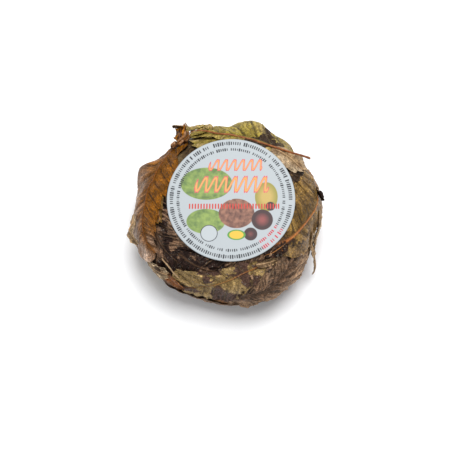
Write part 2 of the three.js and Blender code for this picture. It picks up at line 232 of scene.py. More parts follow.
def dried_leaf(name, blade, shade, midrib, vein, dry, stain, roughness=0.5, bloom=0.0, rot=0.5,
               shine=0.2):
    """Dried chestnut leaf: a thin brown skin with a fine net of veins, a little oily from the cheese.

    blade and shade are its two main tones, in patches of 5 to 9 mm. midrib and vein colour the ribs,
    dry the bleached margins and stain the rotten patches. The net's cells are 1.9 mm, and 0.8 mm for
    its finest veins, twice the real size so that they show. bloom is how much pale mould dust lies
    on it, rot how much of it has small dark spots, and shine how strongly it reflects. Its creases
    are darkened and its crests lightened by the relief, as painted shade and painted light.
    """
    material, tree = new_material(name)
    place = node(tree, "TexCoord", out="Object")
    flat = node(tree, "UVMap", uv_map="flat")
    source = {key: node(tree, "Attribute", out="Fac", attribute_name=key)
              for key in ("midrib", "vein", "dry", "stain", "relief_shading")}
    # Each noise: its size in mm, how many finer layers it has, and how much it is twisted.
    for key, size, detail, twist in (("patches", 9, 4, 0.6), ("blots", 5, 5, 1.0), ("mottle", 2.6, 5, 0.4),
                                     ("spots", 1.3, 3, 0.8), ("grain", 0.6, 3, 0)):
        source[key] = node(tree, "TexNoise", {"Vector": place, "Scale": 1 / (size * MM), "Detail": detail,
                                              "Roughness": 0.62, "Distortion": twist}, out="Fac")
    for key, size in (("net", 1.9), ("fine_net", 0.8)):
        source[key] = node(tree, "TexVoronoi", {"Vector": flat, "Scale": 1 / (size * MM)}, out="Distance",
                           feature="DISTANCE_TO_EDGE")
    source["stain_edge"] = node(tree, "Math", {0: source["mottle"], 1: 0.9, 2: source["stain"]},
                                operation="MULTIPLY_ADD")
    # Each amount: its source, the source's low and high ends, and the amount at either end.
    ramps = {
        "in_shade": ("patches", 0.44, 0.56, 0, 1), "in_blot": ("blots", 0.5, 0.58, 0, 0.75),
        "pale_blot": ("blots", 0.3, 0.46, 1.3, 1), "dry_spots": ("mottle", 0.25, 0.6, 0.5, 1),
        "stained": ("stain_edge", 0.86, 0.98, 0, 1), "dark_spots": ("spots", 0.56, 0.66, 0, 1),
        "rotting": ("patches", 0.42, 0.58, rot * 0.35, rot), "pale_spots": ("spots", 0.3, 0.5, 1.3, 1),
        "net_lines": ("net", 0, 0.09, 0.56, 1), "fine_lines": ("fine_net", 0, 0.12, 0.78, 1.06),
        # folds darkens the creases and lightens the crests: painted shade and painted light.
        "folds": ("relief_shading", -1, 1, 0.4, 1.55), "grains": ("grain", 0.3, 0.7, 0.68, 1.3),
        "dusty": ("mottle", 0.5, 0.6, 0, bloom), "dust": ("spots", 0.55, 0.62, 0, 1),
        "dust_grain": ("grain", 0.45, 0.6, 0, 1), "sunk_net": ("net", 0, 0.14, -0.5, 0),
        "rough": ("mottle", 0.3, 0.7, roughness - 0.12, roughness + 0.18)}
    amount = {key: node(tree, "MapRange", {0: source[of], 1: low, 2: high, 3: first, 4: last},
                        interpolation_type="SMOOTHSTEP")
              for key, (of, low, high, first, last) in ramps.items()}
    # Each product: the two amounts that are multiplied.
    for key, first, second in (("dried", source["dry"], amount["dry_spots"]),
                               ("rotten", amount["dark_spots"], amount["rotting"]),
                               ("dust", amount["dust"], amount["dust_grain"]),
                               ("dust", "dust", amount["dusty"]), ("ribbed", source["vein"], 0.8),
                               ("lined", source["midrib"], 0.9)):
        first = amount[first] if isinstance(first, str) else first
        amount[key] = node(tree, "Math", {0: first, 1: second}, operation="MULTIPLY", use_clamp=True)
    tone = colour(blade)
    rib = node(tree, "Mix", {FACTOR: source["dry"], FIRST: colour(vein), SECOND: colour(dry)}, out=MIXED,
               data_type="RGBA")
    # Each layer over the blade: its amount, and its colour, or None where it lightens and darkens.
    for key, ink in (("in_shade", colour(shade)), ("in_blot", colour(shade)), ("pale_blot", None),
                     ("dried", colour(dry)), ("stained", colour(stain)), ("rotten", colour(stain)),
                     ("pale_spots", None), ("ribbed", rib), ("net_lines", None), ("fine_lines", None),
                     # The folds layer is painted shade in the creases and painted light on the crests.
                     ("lined", colour(midrib)), ("folds", None), ("grains", None),
                     ("dust", colour("#c4bdb0"))):
        if ink is None:
            tone = node(tree, "HueSaturation", {"Color": tone, "Value": amount[key]})
        else:
            tone = node(tree, "Mix", {FACTOR: amount[key], FIRST: tone, SECOND: ink}, out=MIXED,
                        data_type="RGBA")
    relief = node(tree, "Math", {0: source["spots"], 1: 0.9, 2: amount["sunk_net"]},
                  operation="MULTIPLY_ADD")
    for key in ("mottle", "grain"):
        relief = node(tree, "Math", {0: relief, 1: source[key]}, operation="ADD")
    bump = node(tree, "Bump", {"Height": relief, "Strength": 0.9, "Distance": 0.35 * MM})
    skin = node(tree, "BsdfPrincipled", {"Base Color": tone, "Roughness": amount["rough"], "Normal": bump,
                                         "IOR": 1.4, "Specular IOR Level": shine})
    node(tree, "OutputMaterial", {"Surface": skin})
    return material


# Old pressed leaf: dark, matt and a little dusty, since it lies beneath all the others.
pressed_leaf = dried_leaf("old_pressed_leaf", "#57432a", "#3a2c1c", "#6d5230", "#6d5230", "#7a6748",
                          "#241a12", 0.6, bloom=0.3)
wheel_run = (TOTAL_RUN * np.arange(1, OVER) / OVER)[:, None]
wheel_degrees = np.arange(AROUND) * 360 / AROUND
wheel = on_skin(wheel_degrees, wheel_run)


def bell(p, degrees, run, size):
    """One at a place on the skin, falling off as e to the minus of (distance over size) squared."""
    return np.exp(-((p - on_skin(np.float64(degrees), run)) ** 2).sum(-1) / size**2)


def shape_of_wheel(p):
    """What the wheel differs from a round one by: the pad under the label, less two dents in its side.

    The pad has its height within 33 mm of the label's axis, and none past 48 mm or low down.
    """
    shape = PAD_HEIGHT * smooth_step(-from_label(p), -48, -33) * smooth_step(p[..., 2], 25, 40)
    for degrees, run, size, deep in DENTS:
        shape = shape - deep * bell(p, degrees, run, size)
    return shape


# Folds 9 to 14 mm and 4 to 7 mm apart over swells of 12 mm, all fading out where it rests.
wheel_relief = creased(wheel, (14, 9, 11), 5) * 0.5 + creased(wheel, (5, 7, 4), 9) * 0.35
wheel_relief = wheel_relief + layered(wheel, 12, 3, 3) * 0.45 - 0.55
wheel_height = wheel_relief * smooth_step(wheel[..., 2], 0.2, 3.0) + shape_of_wheel(wheel)
wheel_points = wheel + skin_normal(wheel) * wheel_height[..., None]
wheel_points[..., 2] = np.maximum(wheel_points[..., 2], 0)
wheel_ends = np.array([[0, 0, BODY_HEIGHT + PAD_HEIGHT], [0, 0, 0]])
wheel_points = np.concatenate([wheel_points.reshape(-1, 3), wheel_ends])
# The first mark is the relief itself, which the material turns into painted shade in the hollows and
# painted light on the swells.
wheel_marks = {"relief_shading": np.append(wheel_relief.ravel(), [0, 0]),
               "dry": np.append(0.6 * smooth_step(noise(wheel, 16, 31), 0.2, 0.7).ravel(), [0, 0])}
wheel_piece = make_piece("wrapped_wheel", wheel_points, *tube_faces(OVER - 1, AROUND),
                         wheel_points[:, :2] * MM, wheel_marks)
place_piece(wheel_piece, pressed_leaf, "wrap", ["cheese"])

# ---- The leaves round the sides -------------------------------------------------------------
# Sweet chestnut leaves, long and toothed, with a strong midrib and straight side ribs that each end
# in a tooth. They dried on the cheese, so they keep its curve, with crumpled blades and lifted edges.
LEAF_THICKNESS, LEAF_GAP, FLOOR_GAP = 0.28, 0.12, 0.15
NARROWEST, MOST_RAISED = 0.35, 1.3  # a leaf's least half width, and the most that it lifts the next
LABEL_RADIUS, LABEL_HEIGHT = 39.0, 3.37  # the label's underside is so far above the wheel's own top
LABEL_GAP, LABEL_MARGIN, FREE_RISE = 0.25, 0.5, 1.5  # past the margin a leaf may rise so steeply
# The pile is the height of all that lies on the skin, kept on a grid of half degrees round and half
# millimetres over it. Each leaf is laid on it and then raises it, so none cuts into another.
DEGREE_STEP, RUN_STEP = 0.5, 0.5
pile_degrees = np.arange(0, 360, DEGREE_STEP)
pile_runs = np.arange(0, TOTAL_RUN + RUN_STEP, RUN_STEP)
pile = shape_of_wheel(on_skin(pile_degrees[:, None], pile_runs[None, :].clip(0, TOTAL_RUN)))


def degrees_and_run(p):
    """Where a point on the skin lies: the reverse of on_skin, by the rim's own angle."""
    radius = np.hypot(p[..., 0], p[..., 1])
    reach = np.clip((radius - FLAT_RADIUS) / RIM_REACH, 0, 1)
    rise = np.clip((p[..., 2] / lean(p) - HALF_HEIGHT) / HALF_HEIGHT, -1, 1)
    half = RIM_POWER / 2
    at = np.arctan2(reach**half, np.sign(rise) * np.abs(rise) ** half)
    run = np.interp(at, turn, section_run[1:-1])
    run = np.where(radius < FLAT_RADIUS, np.where(rise > 0, radius, TOTAL_RUN - radius), run)
    return np.degrees(np.arctan2(p[..., 1], p[..., 0])) % 360, run


def read_pile(field, degrees, run):
    """The field's value at a place, blended from the four grid points round it."""
    a, b = (degrees % 360) / DEGREE_STEP, np.clip(run / RUN_STEP, 0, field.shape[1] - 1.001)
    i, j = np.floor(a).astype(int), np.floor(b).astype(int)
    s, t = a - i, b - j
    i, k = i % len(field), (i + 1) % len(field)
    low = field[i, j] * (1 - s) + field[k, j] * s
    return low * (1 - t) + (field[i, j + 1] * (1 - s) + field[k, j + 1] * s) * t


def nearby(field, reach, take, rows_meet=False):
    """What take makes of the values within so many rows, and then within so many columns.

    Past its edges the field goes on with its last value, or with its first rows if the rows meet.
    """
    for axis in (0, 1):
        sides = [(reach, reach) if k == axis else (0, 0) for k in (0, 1)]
        wide = np.pad(field, sides, mode="wrap" if rows_meet and axis == 0 else "edge")
        field = take(np.lib.stride_tricks.sliding_window_view(wide, 2 * reach + 1, axis), -1)
    return field


def draped(field, reach=3, soften=3):
    """How a leaf lies over the field: the greatest height within reach, then averaged twice."""
    highest = nearby(field, reach, np.max, True)
    return nearby(nearby(highest, soften, np.mean, True), soften, np.mean, True)


def raise_pile(p, height):
    """Raises the pile to a sheet's upper side, wherever the sheet lies."""
    degrees, run = degrees_and_run(p)
    for i, j in ((0, 0), (1, 0), (0, 1), (1, 1)):
        a = (np.floor(degrees / DEGREE_STEP).astype(int) + i) % len(pile)
        b = np.clip(np.floor(run / RUN_STEP).astype(int) + j, 0, pile.shape[1] - 1)
        np.maximum.at(pile, (a.ravel(), b.ravel()), height.ravel())


def onto_skin(p, turns=4):
    """Moves points onto the skin: each turn steps back along the slope by distance over slope squared."""
    for _ in range(turns):
        distance, slope = skin_distance(p)
        p = p - slope * (distance / (slope**2).sum(-1))[..., None]
    return p


def listed(values, share):
    """Reads a list of values spread evenly from 0 to 1."""
    values = np.atleast_1d(np.asarray(values, float))
    return np.interp(share, np.linspace(0, 1, len(values)), values)


def smooth_path(points, count):
    """Evenly spaced points on a smooth curve through the given ones, and its length.

    Each stretch is the cubic whose slope at a given point is half the step between its neighbours.
    """
    a = np.concatenate([[2 * points[0] - points[1]], points, [2 * points[-1] - points[-2]]])
    a, b, c, d = (a[k:len(a) - 3 + k, None] for k in range(4))
    t = np.linspace(0, 1, 40, endpoint=False)[None, :, None]
    fine = 0.5 * (2 * b + (c - a) * t + (2 * a - 5 * b + 4 * c - d) * t**2 + (3 * b - a - 3 * c + d) * t**3)
    fine = np.concatenate([fine.reshape(-1, 3), points[-1:]])
    run = np.concatenate([[0], np.cumsum(np.linalg.norm(np.diff(fine, axis=0), axis=1))])
    even = np.linspace(0, run[-1], count)
    return np.stack([np.interp(even, run, fine[:, k]) for k in range(3)], -1), run[-1]


def walk(start, along, side, slant, width, columns):
    """Lines that leave the midrib at a slant and follow the skin, with a place for each column.

    Each step goes straight on along the skin, is put back onto it, and the heading is laid flat.
    """
    way = side * np.cos(slant)[:, None] + along * np.sin(slant)[:, None]
    p, places = start, [start]
    for _ in range(columns):
        p = onto_skin(p + way * (width / columns)[:, None], 2)
        normal = skin_normal(p)
        way = way - normal * (way * normal).sum(-1, keepdims=True)
        way = way / np.linalg.norm(way, axis=-1, keepdims=True)
        places.append(p)
    return np.stack(places, 1)


def closed_sheet(name, top, under, there, uv, marks):
    """A thin closed body from two grids of points, with a wall along each open edge.

    there says which cells of the grid hold leaf. A cell's wall stands where the next one holds none.
    """
    rows, columns = top.shape[:2]
    index = np.arange(rows * columns).reshape(rows, columns)
    lift = rows * columns
    a, b, c, d = (k[there] for k in (index[:-1, :-1], index[1:, :-1], index[1:, 1:], index[:-1, 1:]))
    faces = [np.stack([a, b, c, d], -1), np.stack([d, c, b, a], -1) + lift]
    wide = np.pad(there, 1)
    for neighbour, (p, q), (r, s) in ((wide[1:-1, :-2], (1, 0), (0, 0)), (wide[1:-1, 2:], (0, 1), (1, 1)),
                                      (wide[:-2, 1:-1], (0, 0), (0, 1)), (wide[2:, 1:-1], (1, 1), (1, 0))):
        i, j = np.nonzero(there & ~neighbour)
        first, second = index[i + p, j + q], index[i + r, j + s]
        faces.append(np.stack([second, first, first + lift, second + lift], -1))
    used, quads = np.unique(np.concatenate(faces), return_inverse=True)
    points = np.concatenate([top.reshape(-1, 3), under.reshape(-1, 3)])[used]
    both = {key: np.tile(value.ravel(), 2)[used] for key, value in marks.items()}
    flat = np.tile(uv.reshape(-1, 2), (2, 1))[used]
    return make_piece(name, points, quads.reshape(-1, 4), None, flat, both)


def spread_leaf(path, left, right, slant, cell, pitch, tooth, seed):
    """Where a leaf's grid of points lies: on the skin, in the flat leaf, and along its side ribs.

    A row is a step along the midrib. Its columns run from the left margin to the right one, along
    the side ribs, whose lengths swell to a tooth where a rib ends and are made ragged by noise. Also
    given are each column's share of the way out, below 0 on the left, the rib's length, and how far
    a point is off the nearest side rib: 0 on it, and 1 midway to the next.
    """
    rough_path = on_skin(*np.array(path, float).T)
    rows = max(12, round(smooth_path(rough_path, 50)[1] / cell))
    midrib, length = smooth_path(rough_path, rows + 1)
    midrib = onto_skin(midrib)
    share = np.linspace(0, 1, rows + 1)
    along = np.gradient(midrib, axis=0)
    normal = skin_normal(midrib)
    along -= normal * (along * normal).sum(-1, keepdims=True)
    along /= np.linalg.norm(along, axis=-1, keepdims=True)
    side = np.cross(normal, along)
    angle = np.radians(listed(slant, share))
    halves = []
    for hand, reach, offset in ((1, left, 0.0), (-1, right, 0.5)):
        between = share * length / pitch + offset
        width = listed(reach, share)
        width = width + tooth * ((between % 1) ** 1.5 - 0.4) * smooth_step(width, 3, 9)
        margin = np.stack([share * length, 0 * share + 31 * hand, 0 * share + seed * 7.7], -1)
        width = width * (1 + 0.05 * noise(margin, 6, seed)) + 0.35 * noise(margin, 1.4, seed + 1)
        width = np.maximum(width, NARROWEST)
        columns = max(3, round(np.max(width) / cell))
        halves.append((walk(midrib, along, side * hand, angle, width, columns), width, columns, between))
    (skin_left, w_left, c_left, b_left), (skin_right, w_right, c_right, b_right) = halves
    skin = np.concatenate([skin_left[:, ::-1], skin_right[:, 1:]], 1)
    across = np.concatenate([np.linspace(-1, 0, c_left + 1), np.linspace(0, 1, c_right + 1)[1:]])[None, :]
    width = np.where(across < 0, w_left[:, None], w_right[:, None])
    between = np.where(across < 0, b_left[:, None], b_right[:, None])
    off_rib = 1 - 2 * np.abs(between % 1 - 0.5)
    out = np.abs(across) * width
    x = share[:, None] * length + out * np.sin(angle)[:, None]
    y = out * np.cos(angle)[:, None] * np.sign(across)
    flat_place = np.stack([x, y, 0 * x + seed * 13.7], -1)
    rib_place = np.stack([out * np.sign(across), share[:, None] * length + 0 * x, 0 * x + seed * 9.1], -1)
    return skin, flat_place, rib_place, across, width, off_rib


def leaf_relief(flat_place, rib_place, across, width, off_rib, pitch, seed, quilt=0.45, rib=0.3,
                spine=0.4, midrib_width=0.75, folds=0.5, fold_size=(9, 4), waves=0.9, curl=0.6):
    """A blade's height over where it lies, and how near each point is to the midrib and a side rib.

    Added up are a bulge between each two side ribs, the midrib and the side ribs, each falling off
    as e to the minus of (distance over width) squared, folds along the side ribs, low waves, fine
    grain, and a curl at the margin. quilt, rib, spine, folds, waves and curl are their heights.
    """
    share = np.linspace(0, 1, len(width))[:, None]
    out, away = np.abs(across) * width, np.abs(across) + 0 * width
    hold = smooth_step(out, 0.4, 4) * (1 - 0.5 * smooth_step(away, 0.7, 1))
    blade = quilt * (np.sin(np.pi * off_rib / 2) ** 0.8 - 0.5) * hold
    on_midrib = np.exp(-(out / (midrib_width * (1 - 0.6 * share))) ** 2)
    rib_width = 0.54 - 0.25 * away
    on_rib = np.exp(-((off_rib * pitch / 2 / rib_width) ** 2)) * smooth_step(width, 5, 9)
    on_rib = on_rib * (1 - smooth_step(away, 0.8, 1) * 0.7) * (1 - on_midrib)
    ribs = spine * on_midrib + 0.8 * rib * on_rib
    # The folds, at four sizes, on places bent by noise so that they wander.
    bent = rib_place + 1.6 * np.stack([noise(flat_place, 5, seed + k) for k in (21, 22, 23)], -1)
    folding = sum(high * (creased(bent, (fold_size[0] * size, fold_size[1] * size, 9), seed + k) - 0.4)
                  for k, (size, high) in enumerate(((2.0, 1.0), (1.0, 0.9), (0.45, 0.5), (0.23, 0.22))))
    folding = folds * folding * smooth_step(out, 0, 3)
    waving = waves * layered(flat_place, (12, 9, 9), 2, seed + 5) * smooth_step(out, 0, 5)
    fine = 0.10 * layered(flat_place, 1.8, 2, seed + 6)
    curling = curl * smooth_step(away, 0.82, 1) ** 2 * (0.6 + noise(flat_place, 7, seed + 8))
    return blade + ribs + folding + waving + fine + curling, on_midrib, on_rib


def lay_leaf(name, kind, path, left, right, nodes=(), slant=(10, 36, 40, 40, 50), cell=0.42, pitch=8.0,
             tooth=1.3, lift=(0,), lift_left=(0,), lift_right=(0,), tilt=0.0, swells=(), spots=(),
             dry_left=(0.2,), dry_right=(0.2,), stain_left=(0,), stain_right=(0,), torn=0.0, seed=1,
             **relief_sizes):
    """Lays one leaf of a kind, which is a material and its slot, on the pile.

    path runs from the leaf's base to its tip, in degrees round and millimetres over the skin, and
    every list is spread evenly along it. left and right are the lengths of its side ribs, in
    millimetres, as seen from outside with the tip ahead. slant is how far they lean to the tip, in
    degrees, pitch is from one to the next, tooth is how far its teeth stand out, and cell is the
    grid's. Its height is the pile's, draped, plus its relief and the lifts, of which lift_left and
    lift_right raise its margins. A tilt raises it so much for each millimetre to the left. Each
    swell adds its height at its place, as bell does, and each spot adds rot. The dry and stain lists
    say how bleached and how rotten each half is, and torn how much of it has crumbled away. nodes
    are the solids that it stands for.
    """
    skin, flat_place, rib_place, across, width, off_rib = spread_leaf(path, left, right, slant, cell,
                                                                      pitch, tooth, seed)
    relief, on_midrib, on_rib = leaf_relief(flat_place, rib_place, across, width, off_rib, pitch, seed,
                                            **relief_sizes)
    share = np.linspace(0, 1, len(skin))
    away = np.abs(across) + 0 * width

    def along_half(on_left, on_right):
        """Each point's value, read along the first list left of the midrib and the second right of it."""
        return np.where(across < 0, listed(on_left, share)[:, None], listed(on_right, share)[:, None])

    edge_lift = smooth_step(away, 0.6, 1) ** 1.5 * along_half(lift_left, lift_right)
    lifts = listed(lift, share)[:, None] + edge_lift - tilt * flat_place[..., 1]
    lifts = lifts + sum(high * bell(skin, turned, over, size) for turned, over, size, high in swells)
    degrees, run = degrees_and_run(skin)
    floor = read_pile(pile, degrees, run) + LEAF_GAP
    height = np.maximum(read_pile(draped(pile), degrees, run) + LEAF_GAP + relief + lifts, floor)
    # Near the label a leaf is pressed down under its edge.
    beyond = np.maximum(0, from_label(skin) - LABEL_RADIUS - LABEL_MARGIN)
    room = LABEL_HEIGHT - LABEL_GAP + beyond * FREE_RISE
    room = room + BODY_HEIGHT * lean(skin) - skin[..., 2]
    height = np.minimum(height, room - LEAF_THICKNESS)
    normals = skin_normal(skin)
    under = skin + normals * height[..., None]
    top = skin + normals * (height + LEAF_THICKNESS)[..., None]
    under[..., 2] = np.maximum(under[..., 2], FLOOR_GAP)
    top[..., 2] = np.maximum(top[..., 2], FLOOR_GAP + LEAF_THICKNESS)
    raised = np.minimum(height + LEAF_THICKNESS, floor + MOST_RAISED)
    raise_pile(skin[2:-2, 2:-2], raised[2:-2, 2:-2])
    # It is torn where a noise is high, and more so near the margin.
    tear = layered(flat_place, 4.5, 3, seed + 9) + 0.5 * away**3
    there = tear[:-1, :-1] < 1.5 - torn
    # What the material reads: where it is ribbed, bleached and rotten, and painted shade and light:
    # painted shade in a fold and painted light on a crest, by how far each point is under or over the
    # mean height nearby.
    dryness = along_half(dry_left, dry_right) * (0.15 + 0.85 * smooth_step(away, 0.1, 0.6))
    streaks = 1 + 0.8 * noise(rib_place, (12, 2.2, 5), seed + 11)
    dryness = dryness * (streaks + 0.3 * smooth_step(relief, 0.25, 1))
    rot = sum(strong * bell(skin, turned, over, size) for turned, over, size, strong in spots)
    staining = along_half(stain_left, stain_right) + rot
    staining = staining * (1 + 0.9 * layered(flat_place, (9, 6, 5), 3, seed + 12))
    crease_shading = 2.6 * (relief - nearby(relief, 2, np.mean)) + 0.6 * (relief - nearby(relief, 8, np.mean))
    marks = {"midrib": on_midrib, "vein": on_rib, "dry": dryness.clip(0, 1),
             "stain": staining.clip(0, 1), "relief_shading": crease_shading.clip(-1, 1)}
    piece = closed_sheet(name, top, under, there, flat_place[..., :2] * MM, marks)
    place_piece(piece, *kind, nodes)


# Leaves that dried in six ways. Moss dried slowly beneath others and shines a little with oil. Bark
# rotted first, and is dull and purple-brown. Straw was bleached in the air. Amber is soaked with the
# cheese's oil, deep and glossy. Olive dried while it was green. Rust is old and dusty. The colours
# are the blade's two tones, then those of its midrib, veins, bleached margins and rotten patches.
moss = dried_leaf("moss_brown_leaf", "#967438", "#6c5020", "#a4602c", "#2e2010", "#a4825a", "#3a2818",
                  0.34, rot=0.8, shine=0.34), "moss"
bark = dried_leaf("dark_rotted_leaf", "#84644c", "#4e3a2d", "#4e3826", "#38291c", "#aa8a6c", "#2a1a14",
                  0.5, bloom=0.4, rot=0.7), "bark"
straw = dried_leaf("bleached_dry_leaf", "#a98a62", "#7c5e40", "#b0906c", "#866a48", "#bea88a", "#4c3826",
                   0.55, rot=0.5), "straw"
amber = dried_leaf("amber_oiled_leaf", "#8a540a", "#704406", "#683810", "#412408", "#bca492", "#3a200c",
                   0.36, rot=0.5), "ochre"
olive = dried_leaf("olive_dry_leaf", "#a08e3a", "#80702c", "#7c6830", "#4e411a", "#b49a70", "#3a2a1c",
                   0.46, bloom=0.3, rot=0.5), "olive"
rust = dried_leaf("rust_brown_leaf", "#925020", "#653614", "#94602f", "#5a3014", "#b08c62", "#2e1c12",
                  0.5, bloom=0.8, rot=0.6), "rust"

# A row right round, each leaf at a slope of its own. Those at the front are pressed flatter.
ROW_RUN, PATH_STEP = 79, 9  # the row's middle, in mm over the skin, and degrees from point to point
row = [moss, bark, straw, amber, moss, olive, bark, rust, bark, moss]
random = np.random.default_rng(41)
for i, kind in enumerate(row):
    start = i * 360 / len(row) + random.uniform(-6, 6)
    rise = random.choice([-1, 1]) * random.uniform(4, 10)
    middle = ROW_RUN + random.uniform(-3, 3)
    path = [(start + PATH_STEP * k, middle + rise * (k / 3 - 1) + 2 * math.sin(k)) for k in range(7)]
    wide = random.uniform(20, 25)
    behind = 5 <= start + 3 * PATH_STEP <= 200  # where its middle is, in degrees round
    ribs = np.append(2, wide * np.array([0.7, 1, 1, 0.8, 0.45, 0.1]))
    crumple = 0.75 if behind else 0.3
    lay_leaf(f"side_leaf_{i + 1}", kind, path, ribs * (1.25 if behind else 0.8), ribs, cell=0.6,
             folds=0.6 * crumple, waves=0.6 * crumple, quilt=0.5 * crumple, curl=0.3,
             dry_left=[0.5, 0.2, 0.5], dry_right=[0.3, 0.6, 0.3], stain_left=[0.2, 0.5, 0.2],
             stain_right=[0.5, 0.1, 0.4], seed=113 + 13 * i)
lay_leaf("dry_leaf_right", straw, [(-30, 82), (-18, 80), (-5, 79), (8, 78), (20, 75), (32, 70)],
         [2, 9, 12, 13, 11, 7, 2], [2, 9, 12, 13, 11, 7, 2], nodes=["leaf_right_dry"], folds=0.4,
         waves=0.4, lift_left=[0, 0.2, 0.6, 1, 0.5], dry_left=[0.7], seed=23)
lay_leaf("mossy_leaf_rear", moss, [(46, 79), (64, 81), (84, 82), (106, 80), (130, 75)],
         [3, 14, 18, 18, 14, 8, 2], [3, 14, 18, 18, 14, 8, 2], nodes=["leaf_rear"], cell=0.5,
         waves=0.6, folds=0.4, dry_right=[0.5], seed=29)
lay_leaf("dry_leaf_left", straw, [(138, 83), (156, 86), (176, 87), (196, 85), (214, 80)],
         [3, 12, 15, 15, 12, 6, 2], [3, 12, 15, 15, 12, 6, 2], nodes=["leaf_side_left"], cell=0.5,
         waves=0.6, folds=0.4, dry_left=[0.6], stain_right=[0.4], lift_right=[0.3, 1, 0.5], seed=31)
lay_leaf("dark_leaf_low", bark, [(222, 85), (242, 88), (262, 89), (284, 88), (304, 85)],
         [3, 10, 13, 13, 11, 6, 2], [3, 10, 13, 13, 11, 6, 2], nodes=["leaf_front_low"], cell=0.5,
         waves=0.3, folds=0.4, curl=0.2, stain_left=[0.3], dry_left=[0.4], seed=37)
lay_leaf("amber_leaf_low", amber, [(308, 88), (326, 91), (344, 92), (362, 92), (380, 89)],
         [2, 8, 10, 10, 8, 2], [2, 8, 10, 10, 8, 2], nodes=["leaf_right_low"], cell=0.5,
         waves=0.3, folds=0.4, curl=0.2, seed=47)

# ---- The dark leaves at the label's edge ----------------------------------------------------
# Chestnut leaves that rotted before they dried, purple-brown and crumpled. They lie lowest beside the
# label, stuck to the wheel, and the label holds their upper edges down.
lay_leaf("dark_leaf_left", bark,
         [(164, 45), (176, 46.5), (190, 47.5), (206, 48), (222, 48), (238, 47.5), (256, 45.5)],
         [4, 13, 17, 19, 19, 17, 14, 9, 2], [3, 14, 22, 25, 26, 24, 19, 11, 2], nodes=["leaf_left_dark"],
         folds=1.2, fold_size=(10, 3.0), waves=1.0, stain_left=[0.4, 0.45, 0.6, 0.5],
         stain_right=[0.3, 0.45, 0.5, 0.25], dry_left=[0.3, 0.2, 0.2, 0.3],
         dry_right=[0.4, 0.3, 0.2, 0.5], spots=[(252, 42, 7, 0.6)], seed=7)
lay_leaf("dark_leaf_beneath", bark, [(228, 43), (244, 43.5), (262, 44), (280, 44), (298, 44), (318, 44)],
         [2, 9, 12, 13, 12, 9, 2], [2, 11, 14, 15, 14, 11, 2], folds=1.1, fold_size=(7, 3),
         stain_left=[0.5], stain_right=[0.4], spots=[(254, 42, 7, 0.6), (262, 44, 5, 0.4)], seed=17)
lay_leaf("dark_leaf_front", bark, [(266, 66), (278, 64), (292, 62), (306, 59), (320, 56), (335, 53)],
         [3, 14, 20, 24, 24, 20, 15, 9, 2], [3, 16, 22, 26, 27, 26, 22, 14, 3], nodes=["leaf_front_dark"],
         lift=[0, 0.2, 1.2, 1, 0.2, 0], folds=1.0, fold_size=(8, 3), waves=0.9, stain_left=[0.4, 0.25],
         # Its spot with a negative amount clears the rot low on its front, lightening it as a painted
         # highlight.
         stain_right=[0.05], dry_left=[0.4, 0.6], dry_right=[0.8, 1], spots=[(293, 58.5, 6, -0.8)], seed=19)
lay_leaf("mossy_leaf_beneath", moss, [(166, 39), (175, 40.5), (186, 41.5), (197, 42)],
         [2, 3, 4, 3, 2], [2, 7, 8, 7, 2], stain_left=[0.3], stain_right=[0.5], folds=0.5, seed=43)

# ---- The long leaf on the right -------------------------------------------------------------
# A chestnut leaf, mossy brown and a little glossy. Its base is held under the label's front edge, and
# its orange midrib runs on to the rim. A strip torn off it hangs free, and a charred tip curls up.
lay_leaf("mossy_leaf_right", moss,
         [(314, 38.5), (325, 42.8), (335, 46), (344, 49.2), (352, 52.8), (360, 57), (368, 60), (377, 61.5),
          (388, 61)],
         [3, 9, 12, 14, 18, 23, 28, 31, 31, 26, 16, 4], [3, 11, 17, 19, 18, 16, 14, 12, 10, 8, 3],
         nodes=["leaf_right"], slant=(10, 24, 18, 12, 14, 24), rib=0.12, quilt=0.5, midrib_width=1.0,
         spine=0.55, lift=[0.2, 0.2, 0.3, 0.8, 2.2, 3.0, 2.6], waves=0.7, folds=0.5, fold_size=(7, 2.6),
         # Its inner half pales toward the tip: bleaching, and a painted highlight of the light off its
         # glossy fold.
         dry_left=[0, 0, 0, 0.1, 0.2, 0.3, 0.3], dry_right=[0, 0.5, 0.8, 0.6, 0.8],
         stain_left=[0.45, 0.15, 0.1, 0.2], stain_right=[0.45, 0.2, 0.1],
         # Its two spots beside the label's right edge are painted shade, darkening the gap there as if
         # rotten.
         spots=[(23, 42, 4, 1.2), (26, 47, 3, 1)], seed=53)
lay_leaf("hanging_strip", straw,
         [(346, 64), (343, 68), (339.5, 72), (335.5, 77.5), (332.5, 83), (331, 86.5)],
         [3, 4, 3.5, 2.5, 1.5, 0.4], [2.5, 4, 3.5, 2.5, 1.5, 0.4], nodes=["tip_hanging"],
         lift=[0.2, 0.6, 1.5, 3.5, 6.5, 8.5], slant=(20, 45), folds=0.6, fold_size=(8, 1.8), dry_left=[0.8],
         seed=73)
lay_leaf("dry_strips_right", straw, [(6, 66), (358, 67), (350, 69.5), (343, 73), (338, 77)],
         [0.6, 2.6, 3, 2.4, 0.6], [0.6, 2.4, 2.8, 2, 0.5], lift=[0.2, 0.5, 0.8, 0.5, 0.1], folds=0.9,
         fold_size=(2.4, 9), pitch=30, torn=0.7, dry_left=[0.8], stain_right=[0.4],
         spots=[(352, 69, 3, 1)], seed=76)
lay_leaf("charred_tip", bark, [(17, 57), (14, 59), (11, 60.5), (7.5, 62)], [0.8, 2.4, 2.6, 1],
         [0.8, 2.4, 2.8, 1], nodes=["tip_right"], lift=[0.3, 1.5, 2.6, 3], folds=1.2, fold_size=(3, 1.8),
         stain_left=[0.8], stain_right=[0.8], curl=1.2, torn=0.5, seed=71)

